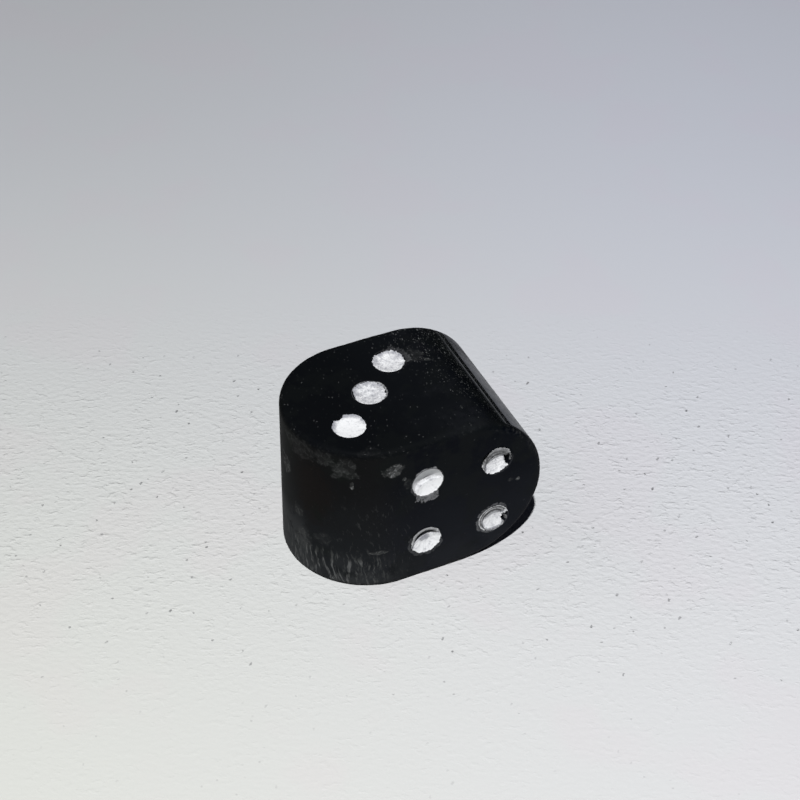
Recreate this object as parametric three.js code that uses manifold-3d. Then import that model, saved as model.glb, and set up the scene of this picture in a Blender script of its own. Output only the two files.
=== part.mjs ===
// A four-sided die of black plastic with recessed, white-painted pips.
//
// The body is where two bars cross. Seen from above, one bar is a D, round at the left end. Seen from
// the front, the other bar is a D, round at the right end. What they share has four flat faces, and
// two half-round ends that turn opposite ways, so the die always rolls off an end onto a face. The
// flat faces and the round ends meet along one unbroken edge, like the seam of a tennis ball.
//
// Millimetres, +Z up. The die lies on its two, shows its three, and has its four in front. The origin
// is on the table, under the middle of the die.

import * as THREE from 'three';
import { mergeVertices } from 'three/addons/utils/BufferGeometryUtils.js';
import Module from 'manifold-3d';

// Driving dimensions.
const dieLength = 16;       // tip to tip of the two half-round ends, along X
const dieDepth = 11.3;      // from the four to the one, along Y
const dieHeight = 12;       // from the two to the three, along Z
const edgeRadius = 0.45;    // rounding of the long edge
const pipWidth = 2.3;       // across a recess, at the face
const pipDepth = 0.6;       // at the middle of a recess
const pipsFromTip = 6;      // from the tip of a face's round end to the middle of its pips
const pipPitchAlong = 5;    // between columns of pips, along the die
const pipPitchDeep = 4.8;   // between rows of pips from front to back, on the three and the two
const pipPitchHigh = 5.25;  // between rows of pips up a face, on the four
const threeBehind = 0.25;   // the real three is drilled this far behind the middle of its face
const fourBelow = 0.2;      // the real four is drilled this far below the middle of its face
const paintDrop = 0.05;     // the paint's edge lies this far under the face
const paintDip = 0.3;       // the dried paint sinks this far from its edge to its middle
const paintGap = 0.02;      // between the paint and the recess that it lies in

// How finely round forms are drawn.
const endSteps = 24;        // flats per quarter turn of a round end
const edgeSteps = 4;        // flats across the long edge
const pipSteps = 28;        // flats round a pip
const pipRings = 5;         // flats from a pip's middle to its rim

const overrun = 2;          // how far a cutting form reaches past what it cuts
const sameSpot = 0.00001;   // corners nearer than this are one corner

const plastic = new THREE.MeshStandardMaterial({
  color: 0x0c0c0e,
  roughness: 0.28,
  metalness: 0,
  flatShading: true,
});
const paint = new THREE.MeshStandardMaterial({
  color: 0xe8e8ec,
  roughness: 0.55,
  metalness: 0,
  flatShading: true,
});

const wasm = await Module();
wasm.setup();

// A closed three.js geometry as a solid that can be joined and cut.
function toSolid(geometry) {
  const bare = geometry.clone();
  bare.deleteAttribute('normal');
  bare.deleteAttribute('uv');
  const merged = mergeVertices(bare, sameSpot);
  return new wasm.Manifold(new wasm.Mesh({
    numProp: 3,
    vertProperties: new Float32Array(merged.attributes.position.array),
    triVerts: new Uint32Array(merged.index.array),
  }));
}

// A solid as a three.js geometry.
function toGeometry(solid) {
  const { vertProperties, triVerts } = solid.getMesh();
  const geometry = new THREE.BufferGeometry();
  geometry.setAttribute('position', new THREE.BufferAttribute(vertProperties, 3));
  geometry.setIndex(new THREE.BufferAttribute(triVerts, 1));
  geometry.computeVertexNormals();
  return geometry;
}

// A D outline: a half circle whose tip is at x = tip, and straight sides that run to x = squareEnd.
function dOutline(tip, width, squareEnd) {
  const side = Math.sign(tip);
  const radius = width / 2;
  const lastTurn = side < 0 ? 3 * Math.PI / 2 : Math.PI / 2;
  const outline = new THREE.Shape();
  outline.moveTo(squareEnd, side * radius);
  outline.lineTo(squareEnd, -side * radius);
  outline.absarc(tip - side * radius, 0, radius, -side * Math.PI / 2, lastTurn);
  return outline;
}

// A bar with that outline, of the given thickness, with both rims rounded. It spans z = 0 to thickness.
function roundedBar(outline, thickness) {
  const bar = new THREE.ExtrudeGeometry(outline, {
    depth: thickness - 2 * edgeRadius,
    curveSegments: endSteps,
    bevelThickness: edgeRadius,
    bevelSize: edgeRadius,
    bevelOffset: -edgeRadius,
    bevelSegments: edgeSteps,
  });
  return bar.translate(0, 0, edgeRadius);
}

// The body before its pips are sunk.
function crossedBars() {
  const tip = dieLength / 2;
  const flatBar = roundedBar(dOutline(-tip, dieDepth, tip + overrun), dieHeight);
  const uprightBar = roundedBar(dOutline(tip, dieHeight, -tip - overrun), dieDepth);
  uprightBar.rotateX(Math.PI / 2).translate(0, dieDepth / 2, dieHeight / 2);
  return toSolid(flatBar).intersect(toSolid(uprightBar));
}

// A recess is the cap of a ball. This gives its depth at a distance from its middle.
const ballRadius = (pipWidth ** 2 / 4 + pipDepth ** 2) / (2 * pipDepth);
function recessDepth(fromMiddle) {
  return Math.sqrt(ballRadius ** 2 - fromMiddle ** 2) - (ballRadius - pipDepth);
}

// Points of a bowl's profile from its middle out to a radius, at even steps along the ball's curve, with
// each point's height given by a rule.
function profile(toRadius, heightAt) {
  const turn = Math.asin(toRadius / ballRadius);
  return Array.from({ length: pipRings + 1 }, (_, ring) => {
    const radius = ballRadius * Math.sin(turn * ring / pipRings);
    return new THREE.Vector2(radius, heightAt(radius));
  });
}

// The form that sinks a recess into a face at z = 0.
function recessCutter() {
  const bowl = profile(pipWidth / 2, (radius) => -recessDepth(radius));
  const above = [new THREE.Vector2(pipWidth / 2, overrun), new THREE.Vector2(0, overrun)];
  return new THREE.LatheGeometry([...bowl, ...above], pipSteps);
}

// The paint in a recess: it follows the bowl underneath, and is dished on top.
function paintFill() {
  const edge = Math.sqrt(ballRadius ** 2 - (ballRadius - pipDepth + paintDrop) ** 2);
  const under = profile(edge, (radius) => paintGap - recessDepth(radius));
  const top = profile(edge, (radius) => paintGap - paintDrop - paintDip * (1 - (radius / edge) ** 2));
  return new THREE.LatheGeometry([...under, ...top.reverse().slice(1)], pipSteps);
}

// LatheGeometry turns its profile about Y, and a pip stands on Z.
const pipCutter = recessCutter().rotateX(Math.PI / 2);
const pipPaint = paintFill().rotateX(Math.PI / 2);

// The faces: where the middle of their pips is, how they are turned from facing up, how far apart their
// rows are, and where each pip lies from the middle, in half pitches along the die and across the face.
// Opposite faces add up to five.
const topPipsX = pipsFromTip - dieLength / 2;
const frontPipsX = dieLength / 2 - pipsFromTip;
const faces = [
  {
    name: 'three',
    middle: [topPipsX, threeBehind, dieHeight],
    turn: 0,
    pitchAcross: pipPitchDeep,
    pips: { front: [-1, -1], middle: [0, 0], back: [1, 1] },
  },
  {
    name: 'two',
    middle: [topPipsX, 0, 0],
    turn: Math.PI,
    pitchAcross: pipPitchDeep,
    pips: { front: [-1, 1], back: [1, -1] },
  },
  {
    name: 'four',
    middle: [frontPipsX, -dieDepth / 2, dieHeight / 2 - fourBelow],
    turn: Math.PI / 2,
    pitchAcross: pipPitchHigh,
    pips: { upper_left: [-1, 1], upper_right: [1, 1], lower_left: [-1, -1], lower_right: [1, -1] },
  },
  {
    name: 'one',
    middle: [frontPipsX, dieDepth / 2, dieHeight / 2],
    turn: -Math.PI / 2,
    pitchAcross: pipPitchHigh,
    pips: { middle: [0, 0] },
  },
];

const die = new THREE.Group();
let bodySolid = crossedBars();
for (const face of faces) {
  const faceGroup = new THREE.Group();
  faceGroup.position.set(...face.middle);
  faceGroup.rotation.x = face.turn;
  die.add(faceGroup);
  for (const [place, [along, across]] of Object.entries(face.pips)) {
    const pip = new THREE.Mesh(pipPaint, paint);
    pip.name = `pip_${face.name}_${place}`;
    pip.position.set(along * pipPitchAlong / 2, across * face.pitchAcross / 2, 0);
    faceGroup.add(pip);
    pip.updateWorldMatrix(true, false);
    bodySolid = bodySolid.subtract(toSolid(pipCutter.clone().applyMatrix4(pip.matrixWorld)));
  }
}

const body = new THREE.Mesh(toGeometry(bodySolid), plastic);
body.name = 'die_body';
die.add(body);

export default die;
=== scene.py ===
import math
import bpy
from mathutils import Matrix, Vector


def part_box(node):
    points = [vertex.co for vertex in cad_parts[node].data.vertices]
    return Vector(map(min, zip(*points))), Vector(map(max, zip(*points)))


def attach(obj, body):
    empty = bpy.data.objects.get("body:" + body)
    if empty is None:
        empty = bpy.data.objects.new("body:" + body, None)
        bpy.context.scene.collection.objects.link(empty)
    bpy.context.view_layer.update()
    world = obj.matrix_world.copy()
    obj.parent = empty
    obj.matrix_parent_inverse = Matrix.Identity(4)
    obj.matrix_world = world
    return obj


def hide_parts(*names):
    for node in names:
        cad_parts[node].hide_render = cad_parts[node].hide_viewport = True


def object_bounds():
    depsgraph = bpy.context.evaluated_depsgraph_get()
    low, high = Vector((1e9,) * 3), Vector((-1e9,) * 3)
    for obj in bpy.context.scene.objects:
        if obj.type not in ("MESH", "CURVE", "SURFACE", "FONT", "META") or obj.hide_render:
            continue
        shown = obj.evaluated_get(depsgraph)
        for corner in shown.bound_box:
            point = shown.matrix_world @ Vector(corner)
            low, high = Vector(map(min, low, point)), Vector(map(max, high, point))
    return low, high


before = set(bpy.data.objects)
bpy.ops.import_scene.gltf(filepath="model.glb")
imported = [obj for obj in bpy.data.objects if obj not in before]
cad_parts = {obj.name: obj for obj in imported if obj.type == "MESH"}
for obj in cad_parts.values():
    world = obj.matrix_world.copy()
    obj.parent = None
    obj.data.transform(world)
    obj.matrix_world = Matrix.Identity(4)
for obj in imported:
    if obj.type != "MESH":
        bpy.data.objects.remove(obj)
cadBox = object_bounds()
lowCorner, highCorner = Vector(cadBox[0]), Vector(cadBox[1])
dieSize = highCorner - lowCorner
dieMiddle = (lowCorner + highCorner) / 2
mm = 0.001
print("frame loaded, die", [round(side / mm, 2) for side in dieSize], "mm")


class Wire:
    # One output of a node. Plain arithmetic on it adds Math nodes to its tree.
    def __init__(self, tree, socket=None):
        self.tree = tree
        self.socket = socket

    def node(self, kind, values, output=0, **settings):
        made = self.tree.nodes.new(kind)
        for name, value in settings.items():
            setattr(made, name, value)
        for name, value in values.items():
            socket = made.inputs[name]
            if isinstance(value, Wire):
                self.tree.links.new(value.socket, socket)
            else:
                socket.default_value = value
        return Wire(self.tree, made.outputs[output])

    def math(self, operation, *others):
        values = {place: value for place, value in enumerate((self, *others))}
        return self.node("ShaderNodeMath", values, operation=operation)

    def __add__(self, other):
        return self.math("ADD", other)

    def __radd__(self, other):
        return self.math("ADD", other)

    def __sub__(self, other):
        return self.math("SUBTRACT", other)

    def __rsub__(self, other):
        return self.node("ShaderNodeMath", {0: other, 1: self}, operation="SUBTRACT")

    def __mul__(self, other):
        return self.math("MULTIPLY", other)

    def __rmul__(self, other):
        return self.math("MULTIPLY", other)

    def __truediv__(self, other):
        return self.math("DIVIDE", other)

    def __rtruediv__(self, other):
        return self.node("ShaderNodeMath", {0: other, 1: self}, operation="DIVIDE")

    def __neg__(self):
        return self.math("MULTIPLY", -1.0)

    def most(self, other):
        return self.math("MAXIMUM", other)

    def least(self, other):
        return self.math("MINIMUM", other)

    def above(self, low):
        # squeezes 0 to 1 into low to 1
        return low + (1.0 - low) * self

    def ramp(self, low, high):
        # 0 below low, 1 above high, smooth between; low may be the larger
        values = {"Value": self, "From Min": low, "From Max": high}
        return self.node("ShaderNodeMapRange", values, interpolation_type="SMOOTHSTEP")

    def vector(self, operation, *others, output="Vector"):
        values = {place: value for place, value in enumerate((self, *others))}
        return self.node("ShaderNodeVectorMath", values, output, operation=operation)

    def scaled(self, factor):
        return self.node("ShaderNodeVectorMath", {0: self, "Scale": factor}, operation="SCALE")

    def split(self):
        return [self.node("ShaderNodeSeparateXYZ", {0: self}, axis) for axis in "XYZ"]

    def join(self, x, y, z):
        return self.node("ShaderNodeCombineXYZ", {0: x, 1: y, 2: z})


def hypotenuse(first, second):
    return (first * first + second * second).math("SQRT")


def outsideRoundEnd(along, aside, centre, radius):
    # How far a point lies outside a D outline: its half circle has this centre along the die
    return hypotenuse((along - centre).most(0.0), aside) - radius


def outsideBars(x, y, z, length, depth, height):
    # The die is where two bars cross. Each bar is a D, round at one end. x, y, z start at its middle.
    planBar = outsideRoundEnd(-x, y, length / 2 - depth / 2, depth / 2)
    sideBar = outsideRoundEnd(x, z, length / 2 - height / 2, height / 2)
    return planBar, sideBar


def newTree(name, sizes):
    # A Geometry Nodes tree with one named float input for each size
    tree = bpy.data.node_groups.new(name, "GeometryNodeTree")
    tree.interface.new_socket("Geometry", in_out="INPUT", socket_type="NodeSocketGeometry")
    for label in sizes:
        tree.interface.new_socket(label, in_out="INPUT", socket_type="NodeSocketFloat")
    tree.interface.new_socket("Geometry", in_out="OUTPUT", socket_type="NodeSocketGeometry")
    given = tree.nodes.new("NodeGroupInput")
    return tree, {socket.name: Wire(tree, socket) for socket in given.outputs if socket.name}


def endTree(tree, geometry, material):
    real = geometry.node("GeometryNodeRealizeInstances", {0: geometry})
    painted = real.node("GeometryNodeSetMaterial", {"Geometry": real, "Material": material})
    result = tree.nodes.new("NodeGroupOutput")
    tree.links.new(painted.socket, result.inputs[0])


def pointMesh(name, points):
    mesh = bpy.data.meshes.new(name)
    mesh.from_pydata([tuple(point) for point in points], [], [])
    return mesh


def bakeTree(start, tree, sizes):
    # Runs a tree on a mesh and keeps what it makes as a plain mesh
    piece = bpy.data.objects.new(start.name, start)
    bpy.context.scene.collection.objects.link(piece)
    modifier = piece.modifiers.new("shape", "NODES")
    modifier.node_group = tree
    for socket in tree.interface.items_tree:
        if socket.in_out == "INPUT" and socket.name in sizes:
            modifier[socket.identifier] = float(sizes[socket.name])
    depsgraph = bpy.context.evaluated_depsgraph_get()
    baked = bpy.data.meshes.new_from_object(piece.evaluated_get(depsgraph), depsgraph=depsgraph)
    piece.modifiers.remove(modifier)
    piece.data = baked
    baked.name = piece.name
    return piece


# Pips: where the frame has them, and how each one was drilled and painted

pipLook = {
    "recessWidth": 2.3,     # mm across, at the face
    "recessDepth": 0.6,     # mm at its middle
    "lipWidth": 0.03,       # mm that the rim is worn back
    "lipDepth": 0.07,       # mm that the worn rim reaches down
    "coat": 0.015,          # mm, the thinnest paint
    "soak": 0.03,           # mm that the paint reaches into the plastic under it
}

# The paint in a pip, where its own entry in pipPaint says nothing else. Ways are degrees on the face from +X.
usualPaint = {
    "edge": 0.03,       # mm that the outline of the thick paint lies under the face
    "dip": 0.28,        # mm that it sinks from there to its middle
    "ragged": 0.07,     # mm that its outline wanders
    "grain": 0.020,     # mm of roughness
    "worn": 0.20,       # how dirty it is, 0 to 1
    "margin": 0.10,     # how much dirtier it is near its outline
    "teeth": 0.03,      # mm that small teeth on its outline reach
    "shade": 0.0,       # how much dirtier it is beside the thin paint
    "thin": 0.0,        # mm across the part that has only thin paint
    "thinWay": 110,
    "thinWorn": 0.5,    # how dark the thin paint is, 0 to 1; its grey is partly painted shade in the recess
    "bend": 8.0,        # mm, radius of the line between thick and thin paint
    "arcs": 0.0,        # how much the collar is drawn in arcs, 0 to 1
    "collar": 0.0,      # mm, width of thick paint left at the rim beyond the thin paint
    "collarWorn": 0.2,
    "arm": 0.0,         # mm, half the width of a strand of thick paint that reaches the rim
    "armWay": 20,
    "trim": 0.0,        # mm that are missing along a straight line
    "trimWay": 90,
    "chipSize": 0.0,    # mm, radius of the place where paint has fallen out
    "chipWay": 0,
    "chipOut": 0.85,    # of its middle, in radii of the pip
    "thread": 1.0,      # how much of a thread of paint is left there at the rim
    "seed": 1,
}

pipPaint = {
    "pip_three_front": dict(
        edge=0.02, dip=0.10, ragged=0.06, grain=0.006, worn=0.16, margin=0.80, teeth=0.05,
        chipSize=0.50, chipWay=108, chipOut=1.16, thread=0.0, seed=3),
    "pip_three_middle": dict(
        dip=0.20, ragged=0.06, grain=0.025, worn=0.52, margin=0.35, teeth=0.08,
        trim=0.16, trimWay=170, seed=8),
    "pip_three_back": dict(
        dip=0.18, ragged=0.10, grain=0.025, worn=0.46, margin=0.35, teeth=0.08,
        trim=0.16, trimWay=100, seed=12),
    "pip_two_front": dict(
        edge=0.05, ragged=0.10, worn=0.5, thin=0.3, thinWay=0, chipSize=0.3, chipWay=20, seed=21),
    "pip_two_back": dict(
        edge=0.05, dip=0.35, ragged=0.12, worn=0.4, thin=0.4, thinWay=90, bend=1.3, seed=24),
    "pip_four_upper_left": dict(
        edge=0.02, dip=0.26, grain=0.010, worn=0.12, thin=1.26, thinWay=106, thinWorn=-0.1, seed=33),
    "pip_four_upper_right": dict(
        ragged=0.10, worn=0.40, teeth=0.05, thin=0.82, thinWay=98, thinWorn=0.62, bend=0.92,
        collar=0.9, collarWorn=0.42, arcs=0.3, trim=0.34, trimWay=150,
        chipSize=0.70, chipWay=-8, chipOut=1.14, seed=37),
    "pip_four_lower_left": dict(
        worn=0.18, teeth=0.05, shade=0.75, thin=0.84, thinWay=111, thinWorn=0.75, bend=2.0,
        collar=0.36, collarWorn=0.32, trim=0.16, trimWay=172, seed=42),
    "pip_four_lower_right": dict(
        worn=0.34, teeth=0.05, thin=0.58, thinWay=99, thinWorn=0.70, bend=0.82,
        collar=0.9, collarWorn=0.38, arcs=1.0, arm=0.14, armWay=19,
        chipSize=0.55, chipWay=-15, chipOut=1.08, seed=46),
    "pip_one_middle": dict(
        edge=0.04, dip=0.34, grain=0.012, thin=0.5, thinWay=75, chipSize=0.25, chipWay=-60, seed=55),
}

# Paint rubbed over the face beside each pip, in lobes: which way it went, how many degrees wide it is,
# how many mm it reaches from the rim, and how thick it is
paintFilm = {
    "pip_three_middle": ((-8, 50, 0.06, 0.40),),
    "pip_three_back": ((20, 50, 0.30, 0.04),),
    "pip_two_front": ((90, 90, 0.10, 0.30),),
    "pip_two_back": ((0, 90, 0.12, 0.30),),
    "pip_four_upper_left": ((-92, 38, 0.44, 0.21), (99, 40, 0.15, 0.28), (180, 60, 0.10, 0.06)),
    "pip_four_upper_right": ((-50, 60, 0.06, 0.03),),
    "pip_four_lower_left": ((205, 60, 0.18, 0.055), (-55, 40, 0.18, 0.06)),
    "pip_four_lower_right": ((182, 40, 0.17, 0.12), (100, 62, 0.20, 0.11), (235, 40, 0.08, 0.10)),
    "pip_one_middle": ((40, 60, 0.25, 0.30), (200, 80, 0.08, 0.15)),
}

recessRadius = pipLook["recessWidth"] / 2
ballRadius = (recessRadius ** 2 + pipLook["recessDepth"] ** 2) / (2 * pipLook["recessDepth"])
ballHeight = ballRadius - pipLook["recessDepth"]
faceOutward = {
    "three": Vector((0, 0, 1)),
    "two": Vector((0, 0, -1)),
    "four": Vector((0, -1, 0)),
    "one": Vector((0, 1, 0)),
}


def pipFrame(node):
    # A matrix that takes a pip drawn at the origin, facing +Z, to its place on the die
    low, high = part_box(node)
    centre = (low + high) / 2
    normal = faceOutward[node.split("_")[1]]
    across = Vector((1, 0, 0))
    up = normal.cross(across)
    reach = (highCorner - dieMiddle).dot(Vector(abs(side) for side in normal))
    onFace = centre + normal * (reach - (centre - dieMiddle).dot(normal))
    return Matrix.Translation(onFace) @ Matrix((across, up, normal)).transposed().to_4x4()


# Body

bodyShape = {
    "Edge Radius": 0.45 * mm,
    "Edge Wear": 0.10 * mm,       # how much the edge's rounding varies
    "Wear Spacing": 1.6 * mm,     # between its rounder places
}
bodyGrid = {"Vertices X": 141, "Vertices Y": 101, "Vertices Z": 109}
pullSteps = 22
wearDetail = 2.0
cutterGrid = {"Segments": 96, "Rings": 128}
sharpAngle = 24     # degrees; shading breaks where the surface turns more


def dieBodyTree(material):
    recess = ["Recess Radius", "Recess Depth", "Lip Width", "Lip Depth"]
    tree, given = newTree("dieBody", ["Length", "Depth", "Height", *recess, *bodyShape])
    pips = given["Geometry"]
    size = pips.join(given["Length"], given["Depth"], given["Height"])
    block = size.node("GeometryNodeMeshCube", {"Size": size, **bodyGrid})
    repeatIn = tree.nodes.new("GeometryNodeRepeatInput")
    repeatOut = tree.nodes.new("GeometryNodeRepeatOutput")
    repeatIn.pair_with_output(repeatOut)
    repeatIn.inputs["Iterations"].default_value = pullSteps
    tree.links.new(block.socket, repeatIn.inputs["Geometry"])
    inside = Wire(tree, repeatIn.outputs["Geometry"])
    # each step moves every vertex towards the middle by its distance from the die's surface
    place = inside.node("GeometryNodeInputPosition", {})
    x, y, z = place.split()
    ray = place.vector("NORMALIZE")
    onBall = ray.scaled(given["Height"] / 2)
    wearCells = {"Vector": onBall, "Scale": 1.0 / given["Wear Spacing"], "Detail": wearDetail}
    wear = ray.node("ShaderNodeTexNoise", wearCells)
    radius = given["Edge Radius"] + given["Edge Wear"] * (wear - 0.5) * 2.0
    planBar, sideBar = outsideBars(x, y, z, given["Length"], given["Depth"], given["Height"])
    overPlan, overSide = planBar + radius, sideBar + radius
    corner = hypotenuse(overPlan.most(0.0), overSide.most(0.0))
    outside = corner + overPlan.most(overSide).least(0.0) - radius
    moved = inside.node("GeometryNodeSetPosition", {"Geometry": inside, "Offset": ray.scaled(-outside)})
    tree.links.new(moved.socket, repeatOut.inputs["Geometry"])
    shaped = Wire(tree, repeatOut.outputs["Geometry"])
    smooth = shaped.node("GeometryNodeSetShadeSmooth", {"Geometry": shaped})
    lifted = smooth.node("GeometryNodeTransform", {"Geometry": smooth, "Translation": tuple(dieMiddle)})
    parts = {"Mesh 1": lifted, "Mesh 2": recessCutters(given)}
    endTree(tree, lifted.node("GeometryNodeMeshBoolean", parts, solver="EXACT"), material)
    return tree


def recessCutters(given):
    # The end of a ball cutter at each pip, with its neck flared to round off the recess's rim
    pips, depth, reach = given["Geometry"], given["Recess Depth"], given["Recess Radius"]
    ball = (reach * reach + depth * depth) / (2.0 * depth)
    sphere = pips.node("GeometryNodeMeshUVSphere", {**cutterGrid, "Radius": ball})
    x, y, z = sphere.node("GeometryNodeInputPosition", {}).split()
    height = z + ball - depth
    # 0 under the worn lip, 1 at the face
    lip = ((height + given["Lip Depth"]) / given["Lip Depth"]).most(0.0).least(2.0)
    spread = 1.0 + lip * lip * given["Lip Width"] / reach
    place = z.join(x * spread, y * spread, height)
    flared = sphere.node("GeometryNodeSetPosition", {"Geometry": sphere, "Position": place})
    outward = pips.node("GeometryNodeInputNamedAttribute", {"Name": "outward"}, data_type="FLOAT_VECTOR")
    turn = outward.node("FunctionNodeAlignRotationToVector", {"Vector": outward}, axis="Z")
    placed = pips.node("GeometryNodeInstanceOnPoints", {"Points": pips, "Instance": flared, "Rotation": turn})
    return placed.node("GeometryNodeRealizeInstances", {0: placed})


def makeBody(material):
    sizes = dict(bodyShape)
    sizes.update({"Length": dieSize.x, "Depth": dieSize.y, "Height": dieSize.z})
    sizes.update({"Recess Radius": recessRadius * mm, "Recess Depth": pipLook["recessDepth"] * mm})
    sizes.update({"Lip Width": pipLook["lipWidth"] * mm, "Lip Depth": pipLook["lipDepth"] * mm})
    frames = [pipFrame(node) for node in pipPaint]
    start = pointMesh("dieBody", [turn.translation for turn in frames])
    outward = start.attributes.new("outward", "FLOAT_VECTOR", "POINT")
    for spot, turn in zip(outward.data, frames):
        spot.vector = turn.col[2].to_3d()
    body = bakeTree(start, dieBodyTree(material), sizes)
    body.data.set_sharp_from_angle(angle=math.radians(sharpAngle))
    return body


# Paint in the pips

# Noise in the paint: shift of its seed, cells, detail, roughness. Round the outline the cells are per radius,
# elsewhere per mm.
paintNoise = {
    "outline": (0.0, 2.2, 6.0, 0.7),
    "teeth": (3.0, 7.0, 2.0, 0.5),
    "marks": (5.0, 5.0, 5.0, 0.7),
    "broad": (9.0, 1.6, 3.0, 0.5),
    "islands": (14.0, 3.6, 3.0, 0.6),
}
paintGrid = {"Segments": 160, "Rings": 84}

# How paint lies in every pip, in mm from the face. A pair is where something starts and where it is full.
paintRule = {
    "pole": 0.0001,                 # keeps the middle from being divided by 0
    "equator": 0.001,               # below it the sphere becomes the underside
    "inset": 0.01,                  # of the outline from the rim
    "outlineNoise": (0.30, 0.70),
    "teethNoise": (0.44, 0.58),
    "trimSide": 0.2,                # cosine, how far round the straight cut can count
    "waves": 0.06,                  # broad unevenness of thick paint
    "grains": 4.0,                  # height of fine marks, in grains
    "leastThick": 0.05,
    "thickTop": -0.012,
    "thinTop": -0.004,
    "lineWaves": 0.25,              # how far the line between thick and thin paint strays
    "lineMarks": 0.22,
    "lineSlope": (-0.03, 0.05),
    "armMarks": 0.1,
    "armSlope": (-0.02, 0.03),
    "armStart": (0.3, 0.5),         # from the pip's middle
    "collarMarks": 0.12,
    "collarSlope": (-0.02, 0.04),
    "collarDrop": 0.035,
    "collarLean": 0.12,             # deeper per mm from the rim
    "arcTurn": 26.0,                # radians per mm
    "arcHeight": 0.02,
    "thinMarks": 0.02,
    "chipMarks": 0.4,
    "chipSlope": (0.0, 0.04),
    "islandNoise": (0.55, 0.60),
    "threadPlace": (0.94, 0.975),   # in radii
    "threadUp": (0.1, 0.4),         # sine of the way
    "bareSoak": 0.6,                # of the soak
}

# How worn its parts are, with painted shade on some, on top of each pip's own values
paintWear = {
    "marginPlace": (0.55, 1.0),     # in radii
    "marginUp": (-0.6, 0.3),        # sine of the way
    "shadeShift": 0.1,              # mm from the pip's middle towards the thin paint
    "shadePlace": (0.55, 0.25),     # mm
    "shadeLine": (0.0, 0.15),       # mm from the line
    "thin": 0.3,
    "thinLine": (-0.30, -0.02),
    "collar": 0.35,
    "collarPlace": (0.12, 0.34),    # mm from the rim
    "arcs": 0.30,
    "slopeShade": 0.4,                   # painted shade on the slope between thick and thin paint
    "slopeShadeMiddle": 0.02,
    "slopeShadePlace": (0.12, 0.05),
    "chip": 0.72,                   # on what is left in a chip
    "chipThin": 0.85,               # how thin that looks
}


def paintMarks(place, seed, name):
    # Noise in four dimensions, the last one a seed
    shift, scale, detail, roughness = paintNoise[name]
    values = {"Vector": place, "W": seed + shift, "Scale": scale, "Detail": detail, "Roughness": roughness}
    return place.node("ShaderNodeTexNoise", values, noise_dimensions="4D")


def heading(degrees):
    turn = degrees * math.radians(1)
    return turn.math("COSINE"), turn.math("SINE")


def isGiven(size):
    # 1 where a pip has this size, 0 where it is left at 0
    return size.ramp(0.0, 0.01)


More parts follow.
